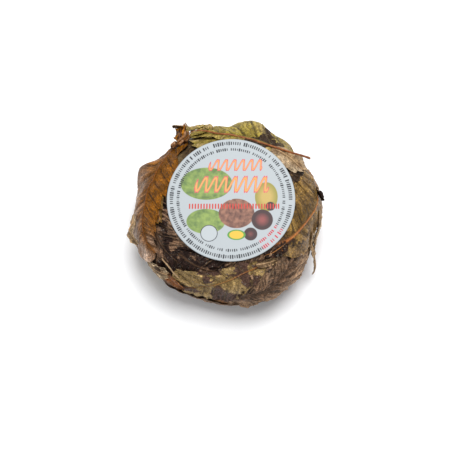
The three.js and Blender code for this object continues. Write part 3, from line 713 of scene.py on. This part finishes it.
# ---- The leaf across the front --------------------------------------------------------------
# A torn chestnut leaf, stuck over the dark ones, with a thin midrib. Beside it lie a rusty flap, a
# pale shred and crumbs of leaf that stuck at the label's edge. It is matt, tan and a little mouldy.
tan = dried_leaf("tan_torn_leaf", "#a68a56", "#8a7042", "#8a5628", "#66502c", "#b89c72", "#573f34",
                 0.45, bloom=0.4, rot=0.6), "moss"
lay_leaf("tan_leaf_front", tan,
         [(300, 43.5), (292, 44.2), (285, 44.8), (278, 46.5), (270, 49.5), (262, 53), (254, 57.5),
          (246, 62.5), (238, 67.5)],
         [3, 9, 15, 19, 20, 20, 18, 13, 8, 2], [2, 5, 8, 10, 13, 17, 20, 18, 11, 3],
         nodes=["leaf_front"], slant=(10, 30, 35, 35, 45), rib=0.15, quilt=0.6,
         stain_left=[0.4, 0.3, 0.2, 0.2], stain_right=[0.45, 0.35, 0.25, 0.2, 0.3],
         dry_left=[0.2, 0.5, 0.5, 0.3], dry_right=[0.1, 0.2, 0.4],
         folds=0.6, fold_size=(8, 3.4), waves=0.6, torn=0.55, midrib_width=0.45,
         spots=[(257, 43, 5, 0.9), (250, 45, 4, 0.9), (262, 43.5, 4, 0.5), (256, 51, 3, 0.9),
                (262, 55, 3, 0.8), (246, 67, 5, 0.8), (268, 68, 7, 0.8), (246, 52, 6, -0.6),
                (254, 58, 5, -0.4), (298, 57, 6, 0.2), (284, 45, 4, 0.5)], seed=59)
lay_leaf("rusty_flap", rust, [(219, 62), (226, 62), (233, 63), (241, 65.5)],
         [2, 5, 6, 5, 2], [2, 5, 5, 4, 2], nodes=["flap_front_left"], lift=[0.2], folds=0.6,
         fold_size=(5, 2.6), waves=0.4, stain_left=[0.2], seed=61)
lay_leaf("pale_shred", straw, [(209, 66), (215, 65), (221, 62.5), (229, 59)],
         [2, 5, 6, 5, 2], [2, 5, 5.5, 5, 2], nodes=["shred_front_left"], dry_left=[0.9], dry_right=[0.7],
         lift=[0.3], folds=0.9, fold_size=(2.4, 8), waves=0.3, spots=[(222, 60, 3, 0.7)], pitch=30,
         seed=67)
lay_leaf("thin_strip", straw, [(220.5, 52.5), (226, 53), (231.5, 54), (237, 55.6)],
         [0.1, 0.5, 0.5, 0.1], [0.1, 0.6, 0.6, 0.1], lift=[0.3, 0.5, 0.5, 0.3], folds=0, waves=0, quilt=0,
         curl=0, dry_left=[1], dry_right=[1], seed=69)
lay_leaf("rolled_crumb", rust, [(304, 40.5), (310, 41.5), (316, 42), (323, 43)], [1.5, 3.5, 3.5, 1.5],
         [1.5, 4, 4, 1.5], nodes=["scrap_front"], lift=[0, 0.6, 0.6, 0], curl=1.6, folds=1.0,
         fold_size=(4, 2.2), stain_left=[0.5], stain_right=[0.5], midrib_width=0.05, seed=79)
lay_leaf("pale_crumb", straw, [(294, 42.5), (299, 43.5), (304, 44.5), (309, 45.5)], [1, 2, 2.5, 1],
         [1, 2.5, 2.5, 1], folds=1.2, fold_size=(3, 2), stain_left=[0.3], stain_right=[0.5],
         torn=0.6, curl=1.2, seed=81)

# ---- The amber leaf on the left -------------------------------------------------------------
# A large chestnut leaf, held down by the label along its inner side. It is deep amber with oil inside
# its midrib, and bleached to a grey pink outside, where it bends over the rim. A scrap of its margin
# curls away at the lower left.
lay_leaf("amber_leaf_left", amber,
         [(121, 48.6), (130, 51), (139, 50.4), (149, 49.3), (160.5, 48.8), (173, 49.6), (185, 52),
          (194, 54), (205, 55.2), (214, 54)],
         [6, 13, 16, 16, 16, 16, 15, 11, 7, 2], [3, 9, 17, 24, 26, 26, 24, 18, 11, 4],
         nodes=["leaf_left"], rib=0.15, quilt=0.5, pitch=8.5, lift=[1.0, 0.8, 0.8, 0.8, 0.8, 0.4],
         lift_right=[0, 0.3, 0.3, 0.3, 0.3, 0.3, 0.5, 1, 1], dry_left=[0, 0, 0, 0, 0.1, 0.9],
         dry_right=[0, 0, 0.4, 1, 1, 1, 1], stain_left=[0.1, 0.1, 0.1, 0], waves=0.9, folds=0.6,
         fold_size=(10, 2.6), tooth=2.2, swells=[(154, 61, 7.5, 6)], spots=[(125, 42, 2.5, 1)], seed=83)
lay_leaf("curled_tip", straw, [(183, 60), (187, 60.5), (191, 61.5), (196, 62), (201, 62)],
         [1, 3, 3.2, 3, 1], [1, 3, 3.4, 3, 1], nodes=["tip_left"], lift=[0.4, 1.6, 4.2, 2.2, 0.4],
         tilt=-0.3, folds=0.6, fold_size=(6, 2.4), torn=0.3, dry_left=[0.6], dry_right=[0.3], seed=89)

# ---- The olive leaf over the back rim -------------------------------------------------------
# A yellow-green chestnut leaf, held by the label's edge and bent down over the rim, with its outer
# edge standing off. Its base is a paler lobe at the right. At its left end the dry bases of two
# leaves are knotted together with crumpled scraps.
lay_leaf("olive_leaf_beneath", olive, [(82, 38), (91, 39), (100, 40), (109, 41.5), (118, 43.5)],
         [2, 6, 8, 7, 3], [3, 8, 11, 9, 4], stain_left=[0.2], stain_right=[0.3], dry_left=[0.4],
         dry_right=[0.5], folds=0.5, seed=41)
lay_leaf("olive_leaf_back", olive,
         [(31, 52), (40, 49.5), (50, 45), (62, 42.4), (75, 41.3), (90, 41.1), (103, 44), (116, 49)],
         [3, 10, 9, 7, 6, 5, 4, 4, 3], [3, 12, 16, 19, 21, 21.5, 19, 15, 10, 4], nodes=["leaf_back"],
         lift=[1.2, 1.3, 1.3, 1.2, 1.2, 1.2], quilt=0.6, rib=0.1,
         dry_left=[1, 0.9, 0.5, 0.3, 0.2], dry_right=[0.6, 0.4, 0.1, 0.1, 0],
         stain_left=[0.1, 0.3, 0.4, 0.3, 0.1], stain_right=[0.1, 0.25, 0.05, 0, 0], folds=0.6, waves=0.7,
         swells=[(73, 57, 10, 6.4), (52, 57, 8, 2.8)],
         spots=[(62, 45, 5, 0.6), (55, 48, 7, 0.75), (72, 42.5, 3.5, 0.5), (50, 54, 4, 0.5)],
         seed=97)
lay_leaf("pale_lobe", straw, [(52, 43.5), (43, 45), (34.5, 47), (26, 50)], [2, 7, 9.5, 8, 3],
         [3, 8, 9.5, 8.5, 3], lift=[0.3, 0.6, 1.2, 1.4], lift_right=[0, 1.2, 2.2, 1.6], dry_left=[0.5],
         dry_right=[0.5, 0.9], folds=0.6, pitch=6, swells=[(36, 55, 6, 2.6)], seed=98)
lay_leaf("low_scrap", olive, [(119, 49), (115, 48.5), (111, 47.5), (106, 46.8)], [1, 2.8, 3, 1],
         [1, 2.6, 2.8, 1], lift=[1.0, 1.6, 1.5, 0.8], tilt=0.3, folds=1.0, fold_size=(4, 2.2), curl=0.8,
         dry_left=[0.5], torn=0.4, seed=102)
lay_leaf("knot_flap", amber, [(134, 51), (130, 50), (126, 49), (119, 48)], [1.5, 3.2, 3.4, 3, 1.5],
         [1.5, 3, 3.4, 3, 1.5], lift=[0.5, 1.2, 1.8, 1.6], tilt=0.2, folds=2.2, fold_size=(3.4, 2),
         # Its stains and spots are partly rot and partly painted shade of the dark gaps in the knot.
         curl=1.0, stain_left=[0.5], stain_right=[0.3],
         spots=[(124, 50.5, 2, 1.5), (130, 48.5, 1.5, 1.2)], seed=105)
lay_leaf("knotted_leaf", amber, [(126, 49.5), (124.5, 52), (122, 54.5), (120, 57), (118.5, 59)],
         [1.5, 3.8, 4.2, 4.0, 2.4], [1.5, 3.8, 3.8, 3.4, 2.0], nodes=["knot_leaf"],
         lift=[0.4, 1.6, 4.0, 6.6, 8.2], folds=2.2, fold_size=(3.4, 1.8), curl=0.8, waves=0.6,
         # Its spots are partly rot and partly painted shade of the dark gaps in the knot.
         slant=(5, 15), dry_left=[0], dry_right=[0], spots=[(120.5, 56, 1.6, 1.6), (124, 52, 1.6, 1.5)],
         seed=101)
lay_leaf("knot_curl", straw, [(115.5, 57), (117.5, 58), (120, 58.8), (122.5, 59.4)], [1.2, 2.2, 1.8, 0.5],
         [1.2, 2.4, 2, 0.6], lift=[6.2, 7.4, 8.6, 9.4], tilt=0.35, folds=0.5, fold_size=(4, 2.2),
         dry_left=[0.2], dry_right=[0.1], seed=106)
lay_leaf("olive_scrap", olive, [(118.5, 54), (113.5, 54), (108, 53.5), (102, 52.5)],
         [2.5, 4.8, 5, 4.6, 2], [2.5, 4.5, 5, 4.5, 2], nodes=["scrap_back_left"], lift=[3.2, 2.6, 0.5, 0],
         tilt=0.3, folds=1.0, fold_size=(5, 2.6), curl=0.6, dry_left=[0.4], dry_right=[0.3], seed=103)
lay_leaf("knot_spur", straw, [(115.5, 58), (115.3, 59.5), (115, 61)], [0.6, 0.6, 0.4], [0.6, 0.6, 0.4],
         lift=[3.5, 6, 8.6], folds=0.2, seed=107)

# ---- The stalk ------------------------------------------------------------------------------
# A leaf stalk of woody fibre, thin, ridged and orange-brown, which lies behind the label. It was cut
# off at its right end, which stands clear of the leaves.
STALK_STEPS, STALK_SIDES, STALK_CLEARANCE = 220, 16, 0.75
# Degrees round, mm over the skin, and mm above it.
stalk_places = np.array([(116, 52.5, 4.2), (111, 49.6, 4.2), (106, 45.8, 4.0), (98, 42.3, 3.9),
                         (88, 41.0, 3.8), (79, 40.9, 3.8), (69, 41.1, 3.8), (59, 42.0, 3.8),
                         (50, 43.6, 4), (41, 48.6, 4.7), (36, 54, 6), (33.5, 59.5, 8)])
stalk_rest = read_pile(draped(pile, 2, 1), stalk_places[:, 0], stalk_places[:, 1]) + STALK_CLEARANCE
stalk_height = np.maximum(stalk_places[:, 2], stalk_rest)[:, None]
stalk_skin = on_skin(stalk_places[:, 0], stalk_places[:, 1])
stalk_line = smooth_path(stalk_skin + skin_normal(stalk_skin) * stalk_height, STALK_STEPS)[0]
stalk_line = stalk_line + 0.25 * np.stack([noise(stalk_line, 9, k) for k in (1, 2, 3)], -1)
stalk_share = np.linspace(0, 1, STALK_STEPS)
stalk_along = np.gradient(stalk_line, axis=0)
stalk_along /= np.linalg.norm(stalk_along, axis=-1, keepdims=True)
stalk_side = np.cross(stalk_along, [0, 0, 1.0])
stalk_side /= np.linalg.norm(stalk_side, axis=-1, keepdims=True)
stalk_up = np.cross(stalk_side, stalk_along)
round_stalk = np.arange(STALK_SIDES) * 2 * math.pi / STALK_SIDES
stalk_out = (stalk_side[:, None] * np.cos(round_stalk)[:, None]
             + stalk_up[:, None] * np.sin(round_stalk)[:, None])
# Its radius: thin along the middle, thicker to the cut, with five low ridges and small bumps.
stalk_radius = np.interp(stalk_share, [0, 0.1, 0.5, 0.93, 1], [0.7, 0.52, 0.52, 0.66, 0.82])[:, None]
stalk_radius = stalk_radius * (1 + 0.12 * np.cos(5 * round_stalk))
stalk_radius = stalk_radius + 0.08 * noise(stalk_line[:, None] + stalk_out, 1.5, 4)
stalk_points = stalk_line[:, None] + stalk_out * stalk_radius[..., None]
stalk_points = np.concatenate([stalk_points.reshape(-1, 3), stalk_line[[0, -1]]])
stalk_cut = np.append(np.repeat(smooth_step(stalk_share, 0.985, 1), STALK_SIDES), [0, 1])
# Its points go round the other way, so its faces are turned over to look outwards.
stalk_quads, stalk_caps = tube_faces(STALK_STEPS, STALK_SIDES)
stalk_piece = make_piece("stalk", stalk_points, stalk_quads[:, [0, 3, 2, 1]], stalk_caps[:, [1, 0, 2]],
                         marks={"cut": stalk_cut})

# Dry stalk: an orange-brown bark, lighter in patches of 2.5 mm and rough at half a millimetre, a
# little polished, and pale wood at the cut.
stalk_bark, tree = new_material("orange_brown_stalk")
place = node(tree, "TexCoord", out="Object")
patches = node(tree, "TexNoise", {"Vector": place, "Scale": 1 / (2.5 * MM), "Detail": 4.0}, out="Fac")
patches = node(tree, "MapRange", {0: patches, 1: 0.35, 2: 0.65})
tone = node(tree, "Mix", {FACTOR: patches, FIRST: colour("#713d1e"), SECOND: colour("#9c6034")}, out=MIXED,
            data_type="RGBA")
cut = node(tree, "Attribute", out="Fac", attribute_name="cut")
tone = node(tree, "Mix", {FACTOR: cut, FIRST: tone, SECOND: colour("#c89a6c")}, out=MIXED, data_type="RGBA")
rough_bark = node(tree, "TexNoise", {"Vector": place, "Scale": 1 / (0.5 * MM), "Detail": 2.0}, out="Fac")
bump = node(tree, "Bump", {"Height": rough_bark, "Strength": 0.5, "Distance": 0.15 * MM})
skin = node(tree, "BsdfPrincipled", {"Base Color": tone, "Roughness": 0.45, "Normal": bump,
                                     "Specular IOR Level": 0.3})
node(tree, "OutputMaterial", {"Surface": skin})
place_piece(stalk_piece, stalk_bark, "stalk", ["stalk_back"])

# ---- The label ------------------------------------------------------------------------------
# A disc of coated paper, laid flat on the leaves. Its print is in flat inks: two rings of fine
# strokes, wavy lines, a green field and brown rounds.
LABEL_THICKNESS, LABEL_BEVEL = 0.4, 0.12
RINGS, SPOKES = 96, 480
label_up = np.array([-SLOPE[0], -SLOPE[1], 1.0])
label_up /= np.linalg.norm(label_up)
label_right = np.cross([0, 1.0, 0], label_up)
label_right /= np.linalg.norm(label_right)
label_back = np.cross(label_up, label_right)
label_middle = np.array([*LABEL_CENTRE, BODY_HEIGHT + LABEL_CENTRE @ SLOPE]) + label_up * LABEL_HEIGHT
label_r = np.append(np.linspace(0.6, LABEL_RADIUS - LABEL_BEVEL, RINGS),
                    [LABEL_RADIUS, LABEL_RADIUS, LABEL_RADIUS - LABEL_BEVEL])[:, None]
label_z = np.append(np.full(RINGS, LABEL_THICKNESS),
                    [LABEL_THICKNESS - LABEL_BEVEL, LABEL_BEVEL, 0])[:, None]
round_label = np.arange(SPOKES) * 2 * math.pi / SPOKES
label_x, label_y = label_r * np.cos(round_label), label_r * np.sin(round_label)
label_wave = 0.1 * layered(np.stack([label_x, label_y, 0 * label_x], -1), 30, 2, 77)
label_wave = label_wave * smooth_step(label_r, 5, 38)
label_points = (label_middle + label_right * label_x[..., None] + label_back * label_y[..., None]
                + label_up * (label_z + label_wave)[..., None])
label_points = np.concatenate([label_points.reshape(-1, 3),
                               [label_middle + label_up * LABEL_THICKNESS, label_middle]])


def oval_shape(x, y, long, short):
    """How far inside an oval: one less the scaled distance from its middle, times the short half."""
    return (1 - np.hypot((label_x - x) / long, (label_y - y) / short)) * short


def wave_line(first, last, y, length, height, half_width, slant):
    """How far inside a wavy line: the half width less the gap to the sine, over its steepness."""
    leaning = label_x - slant * (label_y - y)
    x = np.clip(leaning, first, last)
    turns = 2 * math.pi * x / length
    gap = np.abs(label_y - y - height * np.sin(turns))
    steep = np.sqrt(1 + (height * 2 * math.pi / length * np.cos(turns)) ** 2)
    return half_width - np.hypot(gap / steep, leaning - x)


def stroke_row(first, last, y, pitch, half_length, half_width):
    """How far inside a row of upright strokes with round ends, all alike."""
    nearest = np.clip(np.round((label_x - first) / pitch) * pitch + first, first, last)
    past = np.maximum(np.abs(label_y - y) - half_length, 0)
    return half_width - np.hypot(label_x - nearest, past)


# How far inside each ink's shape a point is, in mm. Off the upper face it is far outside.
OUTSIDE = -9
inks = {
    "green": np.maximum(oval_shape(-15, 10, 16, 10.5), oval_shape(-15, -14, 12, 8)),
    "field": oval_shape(21.5, 1.5, 7, 9.5),
    "orange": np.maximum(wave_line(-13, 19, 22, 5.2, 2.9, 0.75, 0.3),
                         wave_line(-21, 23, 9.5, 6.0, 4.0, 0.95, 0.3)),
    "red": stroke_row(-25, 28.9, -4.5, 1.75, 1.3, 0.5),
    "brown": oval_shape(3.5, -9, 11, 9.5),
    "dark": np.maximum.reduce([oval_shape(19, -13, 6.6, 6.6), oval_shape(12, -22, 4.2, 4.2),
                               oval_shape(24, -4.5, 3, 3)]),
    "yellow": oval_shape(3.5, -22.5, 4.4, 2.6),
    "round": oval_shape(-13, -21.5, 5.0, 5.0),
}
on_top = label_z > LABEL_THICKNESS - LABEL_BEVEL / 2
label_marks = {key: np.append(np.where(on_top, ink, OUTSIDE), [OUTSIDE, OUTSIDE])
               for key, ink in inks.items()}
label_flat = np.concatenate([np.stack([label_x, label_y], -1).reshape(-1, 2), np.zeros((2, 2))]) * MM
label_piece = make_piece("label_paper", label_points, *tube_faces(len(label_r), SPOKES), label_flat,
                         label_marks)

# Coated paper, offset printed: smooth, cool grey white, with a low even gloss and crisp inks. The
# green and the brown are mottled at 3 mm.
label_paper, tree = new_material("coated_label_paper")
place = node(tree, "TexCoord", out="Object")
flat = node(tree, "UVMap", uv_map="flat")
speckle = node(tree, "TexNoise", {"Vector": place, "Scale": 1 / (3 * MM), "Detail": 5.0}, out="Fac")
speckle = node(tree, "MapRange", {0: speckle, 1: 0.35, 2: 0.65})
green = node(tree, "Mix", {FACTOR: speckle, FIRST: colour("#4c6a20"), SECOND: colour("#80983c")}, out=MIXED,
             data_type="RGBA")
brown = node(tree, "Mix", {FACTOR: speckle, FIRST: colour("#522c22"), SECOND: colour("#946650")}, out=MIXED,
             data_type="RGBA")
tone = colour("#a8afb3")
# Each ink: its mark, its colour, the marks where it begins and is full, and how strong it is.
for key, ink, low, high, strength in (
        ("green", green, 0, 0.3, 0.95), ("green", colour("#94aa54"), 2, 9, 0.45),
        ("field", colour("#8e8634"), 0, 0.3, 1), ("field", colour("#b89e54"), 1, 6, 1),
        ("brown", brown, 0, 0.3, 1), ("dark", colour("#321315"), 0, 0.3, 1),
        ("dark", colour("#8c4340"), 2, 5.5, 0.9), ("orange", colour("#c8505a"), 0, 0.12, 1),
        ("orange", colour("#d89c50"), 0.36, 0.5, 1), ("red", colour("#ba3424"), 0, 0.12, 1),
        ("yellow", colour("#4f8c34"), -0.7, -0.6, 1), ("yellow", colour("#d4b032"), 0, 0.12, 1),
        ("round", colour("#aeb5b9"), 0, 0.2, 1)):
    mark = node(tree, "Attribute", out="Fac", attribute_name=key)
    amount = node(tree, "MapRange", {0: mark, 1: low, 2: high, 4: strength})
    tone = node(tree, "Mix", {FACTOR: amount, FIRST: tone, SECOND: ink}, out=MIXED, data_type="RGBA")
# A thin dark line round the empty disc.
mark = node(tree, "Attribute", out="Fac", attribute_name="round")
amount = node(tree, "Math", {0: mark, 1: 0.0, 2: 0.22}, operation="COMPARE")
tone = node(tree, "Mix", {FACTOR: amount, FIRST: tone, SECOND: colour("#2a2d35")}, out=MIXED,
            data_type="RGBA")
# The rings of strokes: the angle round the disc numbers them, and each number has a chance of its own,
# which makes the stroke long or short, broad or narrow, or leaves it out. A stretch of them is red.
RING_STROKES = (34.9, 37.5, 168), (31.2, 33.2, 160)  # inner and outer radius in mm, and how many
across = node(tree, "SeparateXYZ", {0: flat}, out="X")
upward = node(tree, "SeparateXYZ", {0: flat}, out="Y")
angle = node(tree, "Math", {0: upward, 1: across}, operation="ARCTAN2")
radius = node(tree, "VectorMath", {0: flat}, out="Value", operation="LENGTH")
in_red = node(tree, "Math", {0: angle, 1: -0.77, 2: 0.24}, operation="COMPARE")
ring_ink = node(tree, "Mix", {FACTOR: in_red, FIRST: colour("#1c2028"), SECOND: colour("#b8283a")},
                out=MIXED, data_type="RGBA")
for inner, outer, count in RING_STROKES:
    place_on_ring = node(tree, "Math", {0: angle, 1: count / (2 * math.pi), 2: count + 0.5},
                         operation="MULTIPLY_ADD")
    number = node(tree, "Math", {0: place_on_ring}, operation="FLOOR")
    number = node(tree, "Math", {0: number, 1: inner}, operation="ADD")
    chance = node(tree, "TexWhiteNoise", {"W": number}, out="Value", noise_dimensions="1D")
    fifth = (outer - inner) * MM / 5
    half = node(tree, "Math", {0: chance, 1: fifth, 2: fifth * 1.5}, operation="MULTIPLY_ADD")
    amount = node(tree, "Math", {0: radius, 1: (inner + outer) / 2 * MM, 2: half}, operation="COMPARE")
    part = node(tree, "Math", {0: place_on_ring}, operation="FRACT")
    broad = node(tree, "Math", {0: chance, 1: 0.2, 2: 0.16}, operation="MULTIPLY_ADD")
    part = node(tree, "Math", {0: part, 1: 0.5, 2: broad}, operation="COMPARE")
    amount = node(tree, "Math", {0: amount, 1: part}, operation="MULTIPLY")
    kept = node(tree, "Math", {0: chance, 1: 0.12}, operation="GREATER_THAN")
    amount = node(tree, "Math", {0: amount, 1: kept}, operation="MULTIPLY")
    tone = node(tree, "Mix", {FACTOR: amount, FIRST: tone, SECOND: ring_ink}, out=MIXED, data_type="RGBA")
sheet = node(tree, "BsdfPrincipled", {"Base Color": tone, "Roughness": 0.42, "IOR": 1.45,
                                      "Specular IOR Level": 0.3})
node(tree, "OutputMaterial", {"Surface": sheet})
place_piece(label_piece, label_paper, "paper", ["label"])

# ---- The scene ------------------------------------------------------------------------------
# A plain white floor, a wide soft light from behind and above, and a camera that looks down at the
# angle of the photograph.
floor_mesh = bpy.data.meshes.new("floor")
floor_mesh.from_pydata([(-3, -3, 0), (3, -3, 0), (3, 3, 0), (-3, 3, 0)], [], [(0, 1, 2, 3)])
floor = add_object("floor", floor_mesh)
# White board: matt and even, with a little light of its own so that it stays white to the edges.
white_board, tree = new_material("white_board")
board = node(tree, "BsdfPrincipled", {"Base Color": colour("#f7f8fa"), "Roughness": 0.9,
                                      "Emission Color": (1, 1, 1, 1), "Emission Strength": 0.05})
node(tree, "OutputMaterial", {"Surface": board})
floor_mesh.materials.append(white_board)

world = bpy.data.worlds.new("studio")
bpy.context.scene.world = world
world.use_nodes = True
background = world.node_tree.nodes["Background"]
background.inputs["Color"].default_value = (1, 1, 1, 1)
background.inputs["Strength"].default_value = 0.34
# Each light: its place and its size in metres, and its power in watts. Both look at the wheel's middle.
MIDDLE = Vector((0, 0, 0.03))
for name, where, size, power in (("key", (0.1, 0.24, 1.08), 0.8, 14), ("fill", (-0.6, -0.3, 0.8), 0.9, 1)):
    light = bpy.data.lights.new(name, "AREA")
    light.shape, light.size, light.energy = "DISK", size, power
    lamp = add_object(name, light)
    lamp.location = where
    lamp.rotation_euler = (MIDDLE - Vector(where)).to_track_quat("-Z", "Y").to_euler()

# The camera stands in front and above, at this angle and distance from a spot at the label's middle.
# It looks at a point a little to the left of that spot and below it.
CAMERA_ANGLE, CAMERA_DISTANCE, LENS = math.radians(67), 0.648, 85
AIM_LEFT, AIM_DOWN = 0.0029, 0.0166
label_spot = Vector((LABEL_CENTRE[0], LABEL_CENTRE[1], BODY_HEIGHT + LABEL_HEIGHT + 0.5)) * MM
back = Vector((0, -math.cos(CAMERA_ANGLE), math.sin(CAMERA_ANGLE)))
upwards = Vector((0, math.sin(CAMERA_ANGLE), math.cos(CAMERA_ANGLE)))
aim = label_spot - Vector((1, 0, 0)) * AIM_LEFT - upwards * AIM_DOWN
camera_data = bpy.data.cameras.new("camera")
camera_data.lens = LENS
camera = add_object("camera", camera_data)
camera.location = label_spot + back * CAMERA_DISTANCE
camera.rotation_euler = (aim - camera.location).to_track_quat("-Z", "Y").to_euler()
bpy.context.scene.camera = camera
bpy.context.scene.view_settings.view_transform = "Standard"
